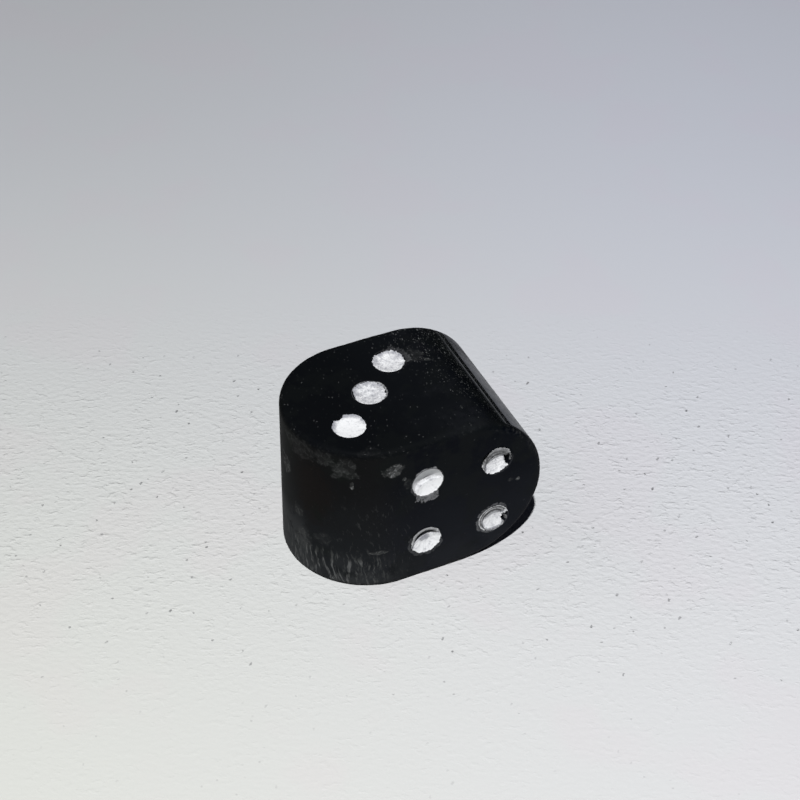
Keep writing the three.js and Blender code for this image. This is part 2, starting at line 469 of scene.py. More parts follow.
def paintTree(material):
    sizes = ["Ball Radius", "Ball Height", "Recess Radius", "coat", "soak", *usualPaint]
    tree, given = newTree("pipPaint", sizes)
    start, reach, seed = given["Geometry"], given["Recess Radius"], given["seed"]
    rule, wear = paintRule, paintWear
    ball = start.node("GeometryNodeMeshUVSphere", {**paintGrid, "Radius": 1.0})
    x, y, z = ball.node("GeometryNodeInputPosition", {}).split()
    spread = hypotenuse(x, y).most(rule["pole"])
    wayX, wayY = x / spread, y / spread

    # outline: a ragged circle with small teeth, cut off by a straight line
    onCircle = x.join(wayX, wayY, 0.0)
    wander = paintMarks(onCircle, seed, "outline")
    teeth = paintMarks(onCircle, seed, "teeth").ramp(*rule["teethNoise"]) * given["teeth"]
    trimX, trimY = heading(given["trimWay"])
    towardsTrim = (wayX * trimX + wayY * trimY).most(rule["trimSide"])
    toTrim = (reach - given["trim"] * (0.5 + wander)) / towardsTrim
    rim = reach - rule["inset"] - given["ragged"] * wander.ramp(*rule["outlineNoise"])
    rim = rim.least(toTrim) - teeth
    across, along, radius = x * rim, y * rim, spread * rim
    bowl = given["Ball Height"] - (given["Ball Radius"] * given["Ball Radius"] - radius * radius).math("SQRT")

    # thick paint, dished
    flatPlace = x.join(across, along, 0.0)
    marks = paintMarks(flatPlace, seed, "marks") - 0.5
    broad = paintMarks(flatPlace, seed, "broad") - 0.5
    thick = broad * rule["waves"] + marks * given["grain"] * rule["grains"]
    thick = thick - given["edge"] - given["dip"] * (1.0 - spread * spread)
    thick = thick.most(bowl + rule["leastThick"]).least(rule["thickTop"])

    # thin paint beyond a curved line, which an arm of thick paint may cross
    thinX, thinY = heading(given["thinWay"])
    behind = given["bend"] - reach + given["thin"]
    fromLine = given["bend"] - hypotenuse(across + thinX * behind, along + thinY * behind)
    fromLine = fromLine + broad * rule["lineWaves"] + marks * rule["lineMarks"]
    hasThin = isGiven(given["thin"])
    armX, armY = heading(given["armWay"])
    besideArm = (across * armY - along * armX).math("ABSOLUTE") + marks * rule["armMarks"]
    arm = (given["arm"] - besideArm).ramp(*rule["armSlope"]) * isGiven(given["arm"])
    arm = arm * (across * armX + along * armY).ramp(*rule["armStart"])
    cover = (1.0 - (1.0 - fromLine.ramp(*rule["lineSlope"])) * hasThin).most(arm)

    # a collar of thick paint left at the rim there, in arcs
    fromRim = reach - radius + marks * rule["collarMarks"]
    collar = (given["collar"] - fromRim).ramp(*rule["collarSlope"]) * isGiven(given["collar"]) * (1.0 - cover)
    arcs = (fromRim * rule["arcTurn"]).math("SINE") * given["arcs"]
    thin = bowl + given["coat"] + marks * rule["thinMarks"]
    level = arcs * rule["arcHeight"] - rule["collarDrop"] - rule["collarLean"] * fromRim.most(0.0)
    thin = thin + (level.most(thin) - thin) * collar

    # chips, which leave islands and a thread of paint at the rim
    chipX, chipY = heading(given["chipWay"])
    chipReach = given["chipOut"] * reach
    fromChip = hypotenuse(across - chipX * chipReach, along - chipY * chipReach) + marks * rule["chipMarks"]
    islands = paintMarks(flatPlace, seed, "islands").ramp(*rule["islandNoise"])
    chipped = (given["chipSize"] - fromChip).ramp(*rule["chipSlope"]) * isGiven(given["chipSize"])
    thread = spread.ramp(*rule["threadPlace"]) * given["thread"] * wayY.ramp(*rule["threadUp"])
    bare = chipped * (1.0 - islands * given["thread"]) * (1.0 - thread)

    coated = (thin + (thick - thin) * cover).least(rule["thinTop"])
    face = coated * (1.0 - bare) + (bowl - rule["bareSoak"] * given["soak"]) * bare
    under = z.math("LESS_THAN", rule["equator"])
    height = face * (1.0 - under) + (bowl - given["soak"]) * under

    # how worn each part is, with shade partly painted into the thin paint, and painted shade on the slope
    # between thick and thin paint
    margin = spread.ramp(*wear["marginPlace"]) * wayY.ramp(*wear["marginUp"])
    besideThin = hypotenuse(across - thinX * wear["shadeShift"], along - thinY * wear["shadeShift"])
    shaded = besideThin.ramp(*wear["shadePlace"]) * fromLine.ramp(*wear["shadeLine"])
    wornThick = given["worn"] + given["margin"] * margin + given["shade"] * shaded
    wornThin = given["thinWorn"] * (1.0 + wear["thin"] * fromLine.ramp(*wear["thinLine"]))
    wornCollar = given["collarWorn"] + fromRim.ramp(*wear["collarPlace"]) * wear["collar"]
    wornCollar = wornCollar - arcs * wear["arcs"]
    wornThin = wornThin + (wornCollar - wornThin) * collar
    slopeShade = (fromLine - wear["slopeShadeMiddle"]).math("ABSOLUTE").ramp(*wear["slopeShadePlace"]) * hasThin
    worn = wornThick * cover + wornThin * (1.0 - cover) + wear["slopeShade"] * slopeShade
    worn = worn + (wear["chip"] - worn) * chipped
    kept = ball
    for name, value in {"cover": cover * (1.0 - wear["chipThin"] * chipped), "worn": worn}.items():
        values = {"Geometry": kept, "Name": name, "Value": value}
        kept = kept.node("GeometryNodeStoreNamedAttribute", values, data_type="FLOAT", domain="POINT")
    place = x.join(across, along, height).scaled(mm)
    moved = kept.node("GeometryNodeSetPosition", {"Geometry": kept, "Position": place})
    endTree(tree, moved.node("GeometryNodeSetShadeSmooth", {"Geometry": moved}), material)
    return tree


def makePaint(material):
    tree = paintTree(material)
    shared = {"Ball Radius": ballRadius, "Ball Height": ballHeight, "Recess Radius": recessRadius}
    pieces = {}
    for node, own in pipPaint.items():
        sizes = {**shared, "coat": pipLook["coat"], "soak": pipLook["soak"], **usualPaint, **own}
        piece = bakeTree(pointMesh(node.replace("pip", "paint"), []), tree, sizes)
        piece.data.transform(pipFrame(node))
        pieces[node] = piece
    return pieces


# Finishes

def newMaterial(name):
    material = bpy.data.materials.new(name)
    material.use_nodes = True
    tree = material.node_tree
    tree.nodes.clear()
    return material, Wire(tree)


def finish(start, shader):
    target = start.tree.nodes.new("ShaderNodeOutputMaterial")
    start.tree.links.new(shader.socket, target.inputs["Surface"])


def objectPlace(start):
    # Object coordinates in millimetres
    return start.node("ShaderNodeTexCoord", {}, "Object").scaled(1 / mm)


def mixColour(factor, first, second):
    # sockets 6, 7 and output 2 of a Mix node are its colours
    first, second = (shade if isinstance(shade, Wire) else (*shade, 1.0) for shade in (first, second))
    return factor.node("ShaderNodeMix", {"Factor": factor, 6: first, 7: second}, 2, data_type="RGBA")


def noise(place, scale, detail, roughness):
    # From 0 to 1, with its middle at 0.5
    values = {"Vector": place, "Scale": scale, "Detail": detail, "Roughness": roughness}
    return place.node("ShaderNodeTexNoise", values)


def away(place, centre, radii):
    # Distance from a point, in units of the radii
    return place.vector("SUBTRACT", centre).vector("DIVIDE", radii).vector("LENGTH", output="Value")


bendSides = (1.0, 0.8, 0.6)     # how much of a bend goes along each axis


def bend(place, noisy, amount):
    # Shifts a place by a noise
    return place.vector("ADD", place.join(*(noisy * (amount * side) for side in bendSides)))


plasticLook = {
    "topColour": (0.0031, 0.0036, 0.0045),      # at the round end that stands upright
    "topFarColour": (0.0041, 0.0048, 0.0060),   # at the other end
    "topHazeColour": (0.0085, 0.0094, 0.0112),
    "sideColour": (0.0014, 0.0022, 0.0042),     # at the top of the faces, and at their foot with the lit floor's reflection painted in
    "footReflectionColour": (0.0084, 0.0096, 0.0130),
    "endColour": (0.0052, 0.0053, 0.0056),      # the same on the upright round end
    "endFootReflectionColour": (0.0114, 0.0128, 0.0146),
    "brownTint": (0.0080, 0.0064, 0.0060),
    "greenTint": (0.0060, 0.0078, 0.0070),
    "greyTint": (0.0062, 0.0074, 0.0072),       # of patches on the flat faces
    "levelEndColour": (0.0019, 0.0023, 0.0031),
    "chalkColour": (0.21, 0.215, 0.22),         # of the palest scuffs
    "scuffColour": (0.056, 0.058, 0.058),
    # haze, the painted reflection of the floor and a painted highlight share this colour
    "hazeAndSheenColour": (0.030, 0.032, 0.034),
    "dustColour": (0.16, 0.165, 0.165),
    "filmColour": (0.80, 0.81, 0.84),
    "gloss": 0.01,              # the shader's specular level: handling has dulled the plastic
    "roughness": 0.45,
    "endPolish": 0.70,          # the weight of the clear, smooth skin that the level round end still has
    "facePolish": 0.06,         # and the faces near it
    "dullPolish": 0.012,        # and the rest
    "backPolish": 0.35,         # but for the back
    "polishRoughness": 0.05,
    "roughnessWander": 0.15,    # of the plastic's own roughness
    "tipDulling": 0.68,         # how much of the level round end's skin is worn off at its tip
    "backKept": 0.40,           # how much of it is left towards the back
    "evenPolish": 0.80,         # and everywhere on it, with this much more in patches
    "patchPolish": 0.30,
    "flecks": 0.55,             # how much of it is gone in flecks near the back
    "patchiness": 0.45,         # how strong the tints are: patches on the faces and on the top,
    "topPatchiness": 0.30,
    "patchShares": (0.6, 0.4),  # of two noises in them
    "brown": 0.75,              # and brown and green on the upright round end
    "brownWander": 1.5,         # radii
    "green": 0.6,
    "topHaze": 0.8,
    "farCorner": 0.9,
    "footWander": 0.5,
    "footHaze": 0.9,
    "leastFootHaze": 0.2,       # of it, away from the upright round end
    # painted reflection of the lit floor along the upright round end's silhouette
    "silhouetteReflection": 1.1,
    # painted highlight along the low edges towards the level round end
    "edgeHighlight": 0.85,
    "wornEdge": 0.35,
    "dust": 0.8,
    "raggedHeight": 0.5,        # relief, in parts of the bump's height
    "fineHeight": 0.2,
    "scuffDepth": 0.8,
    "filmHeight": 0.6,
    "bumpStrength": 0.3,
    "bumpHeight": 0.00002,      # metres
}

# Noise on the plastic: cells per mm, detail, roughness
plasticNoise = {
    "cloud": (0.5, 4.0, 0.6),
    "ragged": (1.5, 6.0, 0.65),
    "fine": (4.5, 6.0, 0.65),
    "tint": (0.30, 3.0, 0.5),
    "mottle": (1.1, 4.0, 0.6),
}

# Where a noise makes each of these start, and where it makes it full
plasticRanges = {
    "brown": (1.2, 0.4),            # radii from its middle
    "green": (0.50, 0.38),
    "topCloud": (0.50, 0.72),
    "topHaze": (0.30, 0.60),
    "patches": (0.53, 0.44),
    "footHaze": (0.30, 0.60),
    "silhouette": (0.35, 0.50),
    "patchPolish": (0.35, 0.60),
    "flecks": (0.56, 0.44),
    "wornEdge": (0.48, 0.60),
    "wornEdgeFine": (0.45, 0.62),
    "chalk": (0.9, 2.6),            # how strongly the plastic is scuffed
}

# Where tints, polish and painted reflections lie, in mm: where each starts and where it is full, along the
# axis that ends its name
plasticZones = {
    "footZ": (11.5, 0.5),
    "topZ": (11.4, 11.9),
    "uprightEndX": (-1.5, -4.5),
    "brownMiddle": (-7.3, -2.6, 7.6),   # a spot on the upright round end
    "brownRadii": (1.5, 1.9, 3.0),
    "farTopX": (-4.0, 1.5),
    "hazeX": (-0.5, 3.0),           # a hazed strip along the front of the top
    "hazeY": (-2.0, -4.6),
    "hazeCloudX": (-3.0, 2.0),
    "farCornerX": (2.5, 5.5),
    "farCornerY": (1.0, 4.0),
    "levelEndX": (3.2, 4.8),
    "levelEndInset": (0.02, 0.30),  # inwards from the front and the back
    "patchX": (-6.0, -2.0),
    "footHazeZ": (3.6, 0.4),
    "footHazeX": (-1.0, -5.0),
    # painted reflection along the upright round end's silhouette
    "silhouetteZ": (5.5, 3.0),
    "silhouetteX": (-7.4, -7.85),
    "edgeHighlightIn": (0.24, 0.02),     # of the painted highlight, inwards from the long edge
    "edgeHighlightZ": (7.5, 5.0),
    "edgeHighlightX": (-3.0, 0.0),
    "wornEdgeIn": (0.6, 0.05),
    "wornEdgeZ": (12.0, 11.5),
    "facePolishX": (-6.5, -1.0),
    "endPolishX": (1.5, 3.5),
    "endPolishInset": (0.05, 0.5),
    "endTipX": (5.6, 7.5),          # the polish fades towards the tip
    "endBackY": (5.2, 1.5),         # and towards the back
    "flecksY": (1.0, 4.5),
    "backY": (3.0, 5.2),
    "backZ": (11.6, 10.8),
    "edgePolishIn": (0.12, 0.55),
    "keepEdgeX": (2.0, 4.0),        # but not at the level round end
    "pastRims": (0.02, 0.12),       # outwards from a recess
}

# Scuffed patches, and a painted highlight on the rim: middle and radii in mm, how pale
scuffs = {
    "rimLeft": ((-7.8, -1.4, 10.9), (0.8, 1.3, 0.75), 0.50),
    "rimMiddle": ((-6.9, -3.3, 11.0), (0.9, 1.0, 0.65), 0.60),
    "rimRight": ((-5.8, -4.5, 10.6), (0.85, 0.9, 0.80), 0.72),
    "rimTail": ((-6.3, -4.0, 9.85), (0.35, 0.35, 0.25), 0.50),
    # painted highlight, where the lamp is mirrored in the rounded rim
    "rimHighlight": ((-4.5, -4.9, 11.95), (0.8, 0.4, 0.22), 0.16),
    "silhouetteSpot": ((-7.95, 0.1, 8.2), (0.35, 0.6, 0.8), 1.60),
    "sideSpot": ((-7.8, -1.45, 5.2), (0.6, 0.42, 0.55), 0.95),
    "lowSpotLeft": ((-7.7, -1.85, 2.8), (0.6, 0.7, 0.95), 1.10),
    "lowSpotRight": ((-6.95, -3.25, 3.8), (0.6, 0.65, 0.50), 0.50),
    "frontScuff": ((-2.9, -5.6, 10.35), (0.60, 0.6, 0.52), 2.50),
    "frontDot": ((-2.2, -5.65, 9.4), (0.18, 0.3, 0.16), 3.00),
    "frontTrail": ((-1.95, -5.65, 8.9), (0.22, 0.4, 0.40), 0.70),
    "frontSpeck": ((6.15, -5.65, 6.2), (0.15, 0.3, 0.14), 3.00),
    "frontFaintSpeck": ((5.60, -5.65, 6.3), (0.16, 0.3, 0.13), 1.20),
    "sideNick": ((-5.46, -4.72, 9.27), (0.12, 0.2, 0.30), 1.80),
    "lowDrag": ((-3.8, -5.46, 3.2), (0.8, 0.5, 0.15), 1.60),
    "topSmear": ((2.0, 2.5, 12.0), (0.9, 0.75, 0.5), 0.45),
    "topStar": ((2.9, 1.8, 12.0), (0.22, 0.18, 0.3), 2.20),
}
scuffLook = {
    "wander": 3.0,              # how far the patches' outlines stray, in radii
    "outline": (1.20, 0.70),    # in radii, where a patch starts and where it is full
    "flakes": 2.4,              # flakes per mm
    "flakeBend": 0.35,          # mm
    "base": 0.14,               # paleness of every part of a patch
    "flake": 0.30,              # of its palest flakes
    "ridge": 0.45,              # of the lines between flakes
    "ridgeWidth": (0.14, 0.02),
    "ridgeNoise": (0.42, 0.58),
    "grain": 0.25,
    "grainNoise": (0.5, 0.7),
}


def scuffMask(place, ragged, fine):
    look = scuffLook
    total = None
    for middle, radii, pale in scuffs.values():
        inside = (away(place, middle, radii) + (ragged - 0.5) * look["wander"]).ramp(*look["outline"])
        mask = inside * pale
        total = mask if total is None else total.most(mask)
    cells = {"Vector": bend(place, fine, look["flakeBend"]), "Scale": look["flakes"]}
    flake = place.node("ShaderNodeTexVoronoi", cells, "Color").split()[0]
    ridge = place.node("ShaderNodeTexVoronoi", cells, feature="DISTANCE_TO_EDGE").ramp(*look["ridgeWidth"])
    pale = look["base"] + look["flake"] * flake * flake
    pale = pale + look["ridge"] * ridge * fine.ramp(*look["ridgeNoise"])
    return total * (pale + look["grain"] * fine.ramp(*look["grainNoise"]))


# Dust and pinpricks in layers: cells per mm, size in cells, share of cells with one, turn of its long axis
specks = ((1.6, 0.13, 0.22, 0.3), (3.0, 0.24, 0.50, 1.1), (5.5, 0.34, 0.75, 2.0), (8.5, 0.40, 0.85, 0.8))
dustLook = {
    "inset": (0.0, 0.4),        # mm inwards from the front and the back
    "endX": (0.8, 6.2),         # mm, thicker towards the level round end and the back
    "endLean": 0.4,
    "endZ": (8.5, 10.5),
    "topZ": (11.7, 11.9),
    "clumps": (0.9, 3.0, 0.5),
    "clumpNoise": (0.40, 0.60),
    "leastClump": 0.25,
    "bend": 0.5,                # mm
    "squeeze": (1.0, 0.55, 1.0),
    "anywhere": 0.03,           # how many cells have a speck, of a layer's share: anywhere,
    "onTop": 0.06,              # more on the top,
    "nearEnd": 0.91,            # and more near the end
    "edge": (1.0, 0.5),         # of a speck's size, where it starts and where it is full
    "pick": (0.0, 0.03),
    "dimmest": 0.10,
    "elsewhere": 0.36,          # how pale specks are away from the end
}


def speckMask(place, x, y, z, fine):
    look = dustLook
    inside = (dieSize.y / 2 / mm - y.math("ABSOLUTE")).ramp(*look["inset"])
    towardsEnd = (x + y * look["endLean"]).ramp(*look["endX"]) * z.ramp(*look["endZ"]) * inside
    onTop = z.ramp(*look["topZ"])
    clumps = noise(place, *look["clumps"]).ramp(*look["clumpNoise"])
    amount = look["anywhere"] + look["onTop"] * onTop
    amount = amount + look["nearEnd"] * towardsEnd * clumps.above(look["leastClump"])
    bent = bend(place, fine, look["bend"])
    total = None
    for scale, size, share, turn in specks:
        values = {"Vector": bent, "Rotation": (0.0, 0.0, turn), "Scale": look["squeeze"]}
        cells = {"Vector": place.node("ShaderNodeMapping", values), "Scale": scale}
        near = place.node("ShaderNodeTexVoronoi", cells, "Distance")
        pick, bright, _ = place.node("ShaderNodeTexVoronoi", cells, "Color").split()
        spot = near.ramp(*(size * edge for edge in look["edge"]))
        chosen = (pick - (1.0 - share * amount)).ramp(*look["pick"])
        mask = spot * chosen * (bright * bright).above(look["dimmest"])
        total = mask if total is None else total.most(mask)
    return total * towardsEnd.above(look["elsewhere"])


# Upright scratches round the foot of the upright round end, and short faint ones above them. Cells are per
# radian round the end and per mm up it, and the slant is in cells per mm.
strokeLook = {
    "long": {"round": 21.0, "slant": 0.6, "up": 0.65, "seed": 0.0, "noise": (0.50, 0.62), "pale": 1.45},
    "short": {"round": 26.0, "slant": 0.8, "up": 1.3, "seed": 3.0, "noise": (0.57, 0.70), "pale": 0.42},
    "lean": 5.0,
    "leanNoise": (0.35, 2.0, 0.5),
    "strands": (1.0, 3.0, 0.6),
    "topNoise": (1.2, 5.0, 0.55),
    "topWander": 2.2,           # mm
    "longTopZ": (4.3, 3.1),
    "longFootZ": (0.0, 0.2),
    "longX": (-2.4, -5.0),
    "longY": (1.5, -1.0),
    "shortZ": (9.5, 5.0),
    "shortX": (-0.8, -2.6),
    "shortY": (-3.0, -4.6),
}


def strokeMask(x, y, z, place):
    look = strokeLook
    turn = y.math("ARCTAN2", -(x + (dieSize.x - dieSize.y) / 2 / mm))
    lean = noise(place, *look["leanNoise"]) * look["lean"]
    atFoot = (z + noise(place, *look["topNoise"]) * look["topWander"]).ramp(*look["longTopZ"])
    atFoot = atFoot * z.ramp(*look["longFootZ"]) * x.ramp(*look["longX"]) * y.ramp(*look["longY"])
    above = z.ramp(*look["shortZ"]) * x.ramp(*look["shortX"]) * y.ramp(*look["shortY"])
    masks = []
    for name, zone in (("long", atFoot), ("short", above)):
        kind = look[name]
        cells = place.join(turn * kind["round"] - z * kind["slant"] + lean, z * kind["up"], kind["seed"])
        masks.append(noise(cells, *look["strands"]).ramp(*kind["noise"]) * zone * kind["pale"])
    return masks[0].most(masks[1])


filmLook = {
    "sides": (1.15, 0.75),          # of a lobe's half width, where it starts and where it is full
    "leastReach": 0.45,             # of a lobe's reach
    "moreReach": 0.9,
    "reachNoise": (0.30, 0.60),
    "edge": (-0.02, 0.05),          # mm
    "leastCover": 0.45,
    "coverNoise": (0.38, 0.62),
    "fromRim": (-0.06, 0.0),        # mm past the rim
}


def filmMask(place, fine):
    # Paint rubbed over the face beside each pip, and how many mm past the nearest recess's rim a place is
    look = filmLook
    reached = look["leastReach"] + look["moreReach"] * fine.ramp(*look["reachNoise"])
    covered = fine.ramp(*look["coverNoise"]).above(look["leastCover"])
    total, nearest = None, None
    for node in pipPaint:
        turn = pipFrame(node)
        off = place.vector("SUBTRACT", turn.translation / mm)
        distance = off.vector("LENGTH", output="Value")
        past = distance - recessRadius
        nearest = past if nearest is None else nearest.least(past)
        for way, wide, reach, cover in paintFilm.get(node, ()):
            way, half = math.radians(way), math.radians(wide)
            towards = turn.to_3x3() @ Vector((math.cos(way), math.sin(way), 0))
            facing = off.vector("DOT_PRODUCT", towards, output="Value") / distance
            inside = facing.ramp(*(math.cos(half * side) for side in look["sides"]))
            lobe = (reach * inside * reached - past).ramp(*look["edge"])
            mask = lobe * cover * covered * past.ramp(*look["fromRim"])
            total = mask if total is None else total.most(mask)
    return total, nearest


def plasticColour(place, x, y, z, cloud, ragged):
    # The bare plastic: darkest up high, with painted reflections of the lit floor at its foot and along the
    # upright round end's silhouette, and hazed at its foot and on that end
    look, zone, span = plasticLook, plasticZones, plasticRanges
    # painted reflection of the lit floor: paler towards the foot
    low = z.ramp(*zone["footZ"]) + (cloud - 0.5) * look["footWander"]
    onFaces = mixColour(low, look["sideColour"], look["footReflectionColour"])
    onEnd = mixColour(low, look["endColour"], look["endFootReflectionColour"])
    tint = noise(place, *plasticNoise["tint"])
    brown = away(place, zone["brownMiddle"], zone["brownRadii"]) + (ragged - 0.5) * look["brownWander"]
    onEnd = mixColour(brown.ramp(*span["brown"]) * look["brown"], onEnd, look["brownTint"])
    onEnd = mixColour(tint.ramp(*span["green"]) * look["green"], onEnd, look["greenTint"])
    colour = mixColour(x.ramp(*zone["uprightEndX"]), onFaces, onEnd)
    above = mixColour(x.ramp(*zone["farTopX"]), look["topColour"], look["topFarColour"])
    hazed = x.ramp(*zone["hazeX"]) * y.ramp(*zone["hazeY"])
    hazed = hazed + cloud.ramp(*span["topCloud"]) * x.ramp(*zone["hazeCloudX"])
    hazed = hazed * ragged.ramp(*span["topHaze"]) * look["topHaze"]
    above = mixColour(hazed, above, look["topHazeColour"])
    atCorner = x.ramp(*zone["farCornerX"]) * y.ramp(*zone["farCornerY"])
    above = mixColour(atCorner * look["farCorner"], above, look["levelEndColour"])
    inward = (dieSize.y / 2 / mm - y.math("ABSOLUTE")).ramp(*zone["levelEndInset"])
    colour = mixColour(x.ramp(*zone["levelEndX"]) * inward, colour, look["levelEndColour"])
    mottle = noise(place, *plasticNoise["mottle"])
    tintShare, mottleShare = look["patchShares"]
    patchy = (tint * tintShare + mottle * mottleShare).ramp(*span["patches"])
    colour = mixColour(patchy * look["patchiness"] * x.ramp(*zone["patchX"]), colour, look["greyTint"])
    above = mixColour(patchy * look["topPatchiness"], above, look["greyTint"])
    colour = mixColour(z.ramp(*zone["topZ"]), colour, above)
    hazeAndReflection = z.ramp(*zone["footHazeZ"]) * x.ramp(*zone["footHazeX"]).above(look["leastFootHaze"])
    hazeAndReflection = hazeAndReflection * cloud.ramp(*span["footHaze"])
    # painted reflection of the lit floor, low along the upright round end's silhouette
    paintedReflection = z.ramp(*zone["silhouetteZ"]) * x.ramp(*zone["silhouetteX"]) * ragged.ramp(*span["silhouette"])
    hazeAndReflection = hazeAndReflection * look["footHaze"] + paintedReflection * look["silhouetteReflection"]
    return mixColour(hazeAndReflection, colour, look["hazeAndSheenColour"])


def polishWeight(x, y, z, fromEdge, ragged, fine):
    # The clear skin's weight, most on the level round end and little on the faces, and how much of it the
    # long edge keeps
    look, zone, span = plasticLook, plasticZones, plasticRanges
    onFace = look["dullPolish"] + x.ramp(*zone["facePolishX"]) * (look["facePolish"] - look["dullPolish"])
    inset = dieSize.y / 2 / mm - y.math("ABSOLUTE")
    onEnd = x.ramp(*zone["endPolishX"]) * inset.ramp(*zone["endPolishInset"])
    onEnd = onEnd * (1.0 - look["tipDulling"] * x.ramp(*zone["endTipX"]))
    onEnd = onEnd * y.ramp(*zone["endBackY"]).above(look["backKept"])
    onEnd = onEnd * (look["evenPolish"] + look["patchPolish"] * ragged.ramp(*span["patchPolish"]))
    onEnd = onEnd * (1.0 - look["flecks"] * y.ramp(*zone["flecksY"]) * fine.ramp(*span["flecks"]))
    atBack = y.ramp(*zone["backY"]) * z.ramp(*zone["backZ"])
    weight = onFace.most(onEnd * look["endPolish"]).most(atBack * look["backPolish"])
    return weight, fromEdge.ramp(*zone["edgePolishIn"]).most(x.ramp(*zone["keepEdgeX"]))


def blackPlastic():
    look, zone, span = plasticLook, plasticZones, plasticRanges
    material, start = newMaterial("blackPlastic")
    place = objectPlace(start)
    x, y, z = place.split()
    middle, size = dieMiddle / mm, dieSize / mm
    planBar, sideBar = outsideBars(x - middle.x, y - middle.y, z - middle.z, size.x, size.y, size.z)
    fromEdge = -planBar.least(sideBar)
    ragged = noise(place, *plasticNoise["ragged"])
    fine = noise(place, *plasticNoise["fine"])
    cloud = noise(place, *plasticNoise["cloud"])
    wornEdge = fromEdge.ramp(*zone["wornEdgeIn"]) * z.ramp(*zone["wornEdgeZ"]) * look["wornEdge"]
    wornEdge = wornEdge * ragged.ramp(*span["wornEdge"]) * fine.ramp(*span["wornEdgeFine"])
    # scuffs, worn edges and scratches, with the painted rim highlight among the scuffs
    marks = scuffMask(place, ragged, fine).most(wornEdge).most(strokeMask(x, y, z, place))
    dust = speckMask(place, x, y, z, fine)
    film, pastRims = filmMask(place, fine)
    colour = plasticColour(place, x, y, z, cloud, ragged)
    # painted highlight: a pale line along the low edges towards the level round end
    edgeHighlight = fromEdge.ramp(*zone["edgeHighlightIn"]) * z.ramp(*zone["edgeHighlightZ"]) * x.ramp(*zone["edgeHighlightX"])
    colour = mixColour(edgeHighlight * look["edgeHighlight"], colour, look["hazeAndSheenColour"])
    colour = mixColour(marks, colour, look["scuffColour"])
    colour = mixColour(marks.ramp(*span["chalk"]), colour, look["chalkColour"])
    colour = mixColour(dust * look["dust"], colour, look["dustColour"])
    colour = mixColour(film, colour, look["filmColour"])

    weight, keep = polishWeight(x, y, z, fromEdge, ragged, fine)
    rubbed = (1.0 - marks.most(film).most(dust)).most(0.0)
    height = ragged * look["raggedHeight"] + fine * look["fineHeight"]
    height = height - marks * look["scuffDepth"] + film * look["filmHeight"]
    bump = {"Height": height, "Strength": look["bumpStrength"], "Distance": look["bumpHeight"]}
    shader = start.node("ShaderNodeBsdfPrincipled", {
        "Base Color": colour,
        "Roughness": look["roughness"] + look["roughnessWander"] * cloud,
        "Normal": height.node("ShaderNodeBump", bump),
        "Specular IOR Level": look["gloss"],
        "Coat Weight": weight * rubbed * keep * pastRims.ramp(*zone["pastRims"]),
        "Coat Roughness": look["polishRoughness"],
    })
    finish(start, shader)
    return material


paintLook = {
    "colour": (0.765, 0.772, 0.785),
    "wornColour": (0.30, 0.305, 0.335),
    "poreColour": (0.12, 0.12, 0.13),
    # thin paint's colours, partly painted shade in the recess
    "thinColour": (0.60, 0.607, 0.62),
    "thinPaintAndShadeColour": (0.05, 0.051, 0.053),
    "roughness": 0.55,
    "gloss": 0.25,
    "grain": (6.0, 4.0, 0.7),       # noise: cells per mm, detail, roughness
    "mottle": (2.6, 5.0, 0.6),
    "wornShare": 0.34,              # how much wear adds to the dirt's noise
    "dirtNoise": (0.38, 0.68),
    "pores": 0.7,
    "poreWorn": 0.06,
    "poreNoise": (0.37, 0.30),
    "poreFrom": (0.1, 0.6),         # how worn paint with pores is
    "thinMottle": 1.4,
    "thinRange": (-0.1, 1.0),
    "grainHeight": 0.6,             # beside the mottle's
    "bumpStrength": 0.35,
    "bumpHeight": 0.00004,          # metres
}


def whitePaint():
    look = paintLook
    material, start = newMaterial("whitePaint")
    place = objectPlace(start)
    cover = start.node("ShaderNodeAttribute", {}, "Fac", attribute_name="cover")
    worn = start.node("ShaderNodeAttribute", {}, "Fac", attribute_name="worn")
    grain = noise(place, *look["grain"])
    mottle = noise(place, *look["mottle"])
    speckle = (grain + mottle) / 2
    dirt = (speckle + (worn - 0.5) * look["wornShare"]).ramp(*look["dirtNoise"])
    thick = mixColour(dirt, look["colour"], look["wornColour"])
    pores = (grain - worn * look["poreWorn"]).ramp(*look["poreNoise"]) * worn.ramp(*look["poreFrom"])
    thick = mixColour(pores * look["pores"], thick, look["poreColour"])
    # thin paint: its own grey, partly painted shade in the recess
    thinWorn = worn + (speckle - 0.5) * look["thinMottle"]
    thin = mixColour(thinWorn.ramp(*look["thinRange"]), look["thinColour"], look["thinPaintAndShadeColour"])
    height = grain * look["grainHeight"] + mottle
    bump = {"Height": height, "Strength": look["bumpStrength"], "Distance": look["bumpHeight"]}
    shader = start.node("ShaderNodeBsdfPrincipled", {
        "Base Color": mixColour(cover, thin, thick),
        "Roughness": look["roughness"],
        "Normal": height.node("ShaderNodeBump", bump),
        "Specular IOR Level": look["gloss"],
    })
    finish(start, shader)
    return material


# Camera, fitted to the photographed outline and pips

photoView = {
    "azimuth": 25.895,      # degrees that the camera stands to the left of straight in front
    "elevation": 41.161,
    "roll": 1.09,
    "distance": 132.72,     # mm from the camera to the level of the die's middle
    "aimRight": 0.171,      # mm from the die's middle to the camera's axis, in the picture's directions
    "aimUp": 3.627,
    "focalPixels": 1973.8,
    "frameWidth": 800,      # pixels
    "sensorWidth": 36,      # mm
    "clipStart": 10,        # mm
}


# Stage and light

